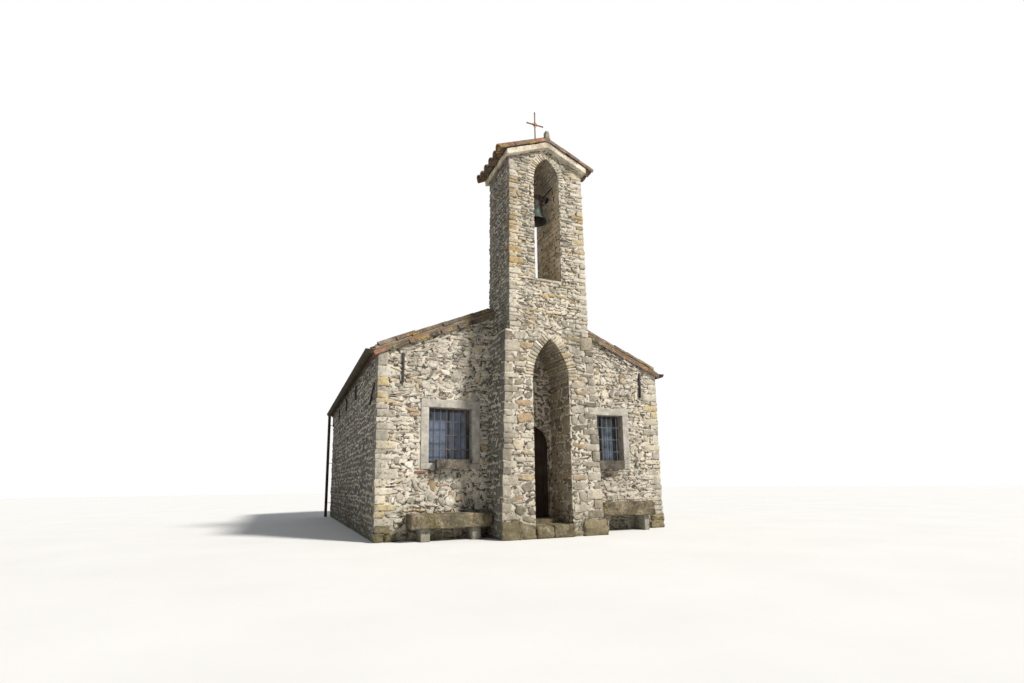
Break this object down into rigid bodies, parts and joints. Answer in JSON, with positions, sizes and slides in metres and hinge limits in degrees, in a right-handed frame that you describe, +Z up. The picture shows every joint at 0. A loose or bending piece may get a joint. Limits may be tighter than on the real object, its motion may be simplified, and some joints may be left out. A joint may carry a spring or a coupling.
{
  "type": "small stone chapel with a belfry tower",
  "caption": "Small rubble-stone chapel with a tiled gable roof and a slim front tower: pointed porch niche, arched door, and open belfry with a swinging bell.",
  "frame": {"origin": "on the ground, under the middle of the building's overall length and width", "axes": "+Z up, +X along the front to the viewer's right, +Y back along the nave, so the door and tower face -Y"},
  "size_m": [6.66, 10.195, 8.8905],
  "materials": {
    "rubble_stone": "rough rubble with recessed lime mortar",
    "dressed_stone": "smooth dressed stone",
    "weathered_stone": "weathered slab",
    "floor_stone": "worn stone floor",
    "terracotta": "weathered clay tile with lichen",
    "mortar_band": "troweled lime mortar",
    "old_timber": "dark weathered oak",
    "deck_timber": "aged boards",
    "window_timber": "dark painted timber",
    "window_glass": "clear old glass",
    "wrought_iron": "forged iron",
    "rusty_iron": "rusted wrought iron",
    "bell_bronze": "dark bronze with verdigris",
    "gutter_metal": "weathered dark sheet",
    "planter_clay": "weathered trough"
  },
  "bodies": {
    "chapel": {"front_wall_left": "rubble_stone", "front_wall_right": "rubble_stone", "front_wall_over_door": "rubble_stone", "door_jambs": "rubble_stone", "side_wall_left": "rubble_stone", "side_wall_right": "rubble_stone", "rear_wall": "rubble_stone", "nave_floor": "floor_stone", "door_threshold": "floor_stone", "porch_step": "floor_stone", "porch_pier_left": "rubble_stone", "porch_pier_right": "rubble_stone", "porch_arch": "rubble_stone", "tower_shaft": "rubble_stone", "belfry_pier_left": "rubble_stone", "belfry_pier_right": "rubble_stone", "belfry_arch": "rubble_stone", "tower_roof_bed": "mortar_band", "tower_roof_tiles": "terracotta", "tower_ridge_tiles": "terracotta", "roof_cross": "rusty_iron", "roof_deck_left": "deck_timber", "roof_deck_right": "deck_timber", "roof_tiles_left": "terracotta", "roof_tiles_right": "terracotta", "roof_ridge_tiles": "terracotta", "front_verge_tiles": "terracotta", "rear_verge_tiles": "terracotta", "roof_beams": "old_timber", "window_lintels": "dressed_stone", "window_jambs": "dressed_stone", "window_sills": "dressed_stone", "window_casements": "window_timber", "window_glass": "window_glass", "window_grilles": "wrought_iron", "planter_boxes": "planter_clay", "door_pintles": "wrought_iron", "bell_bearings": "wrought_iron", "gutters": "gutter_metal", "downpipes": "gutter_metal", "front_wall_anchors": "wrought_iron", "side_wall_anchors": "wrought_iron", "bench_slabs": "weathered_stone", "bench_legs": "dressed_stone", "base_stones": "weathered_stone"},
    "door": {"door_leaf": "old_timber", "door_strap_hinges": "wrought_iron"},
    "bell": {"bell": "bell_bronze", "bell_yoke": "old_timber"},
    "clapper": {"bell_clapper": "wrought_iron"}
  },
  "joints": [
    {"name": "door_swing", "type": "hinge", "parent": "chapel", "child": "door", "pos_m": [-0.42, -4.0045, 1.2], "axis": [0, 0, 1], "range_deg": [0, 95]},
    {"name": "bell_swing", "type": "hinge", "parent": "chapel", "child": "bell", "pos_m": [0, -4.465, 6.93006], "axis": [1, 0, 0], "range_deg": [-55, 55]},
    {"name": "clapper_swing", "type": "hinge", "parent": "bell", "child": "clapper", "pos_m": [0, -4.465, 6.79006], "axis": [1, 0, 0], "range_deg": [-22, 22]}
  ]
}
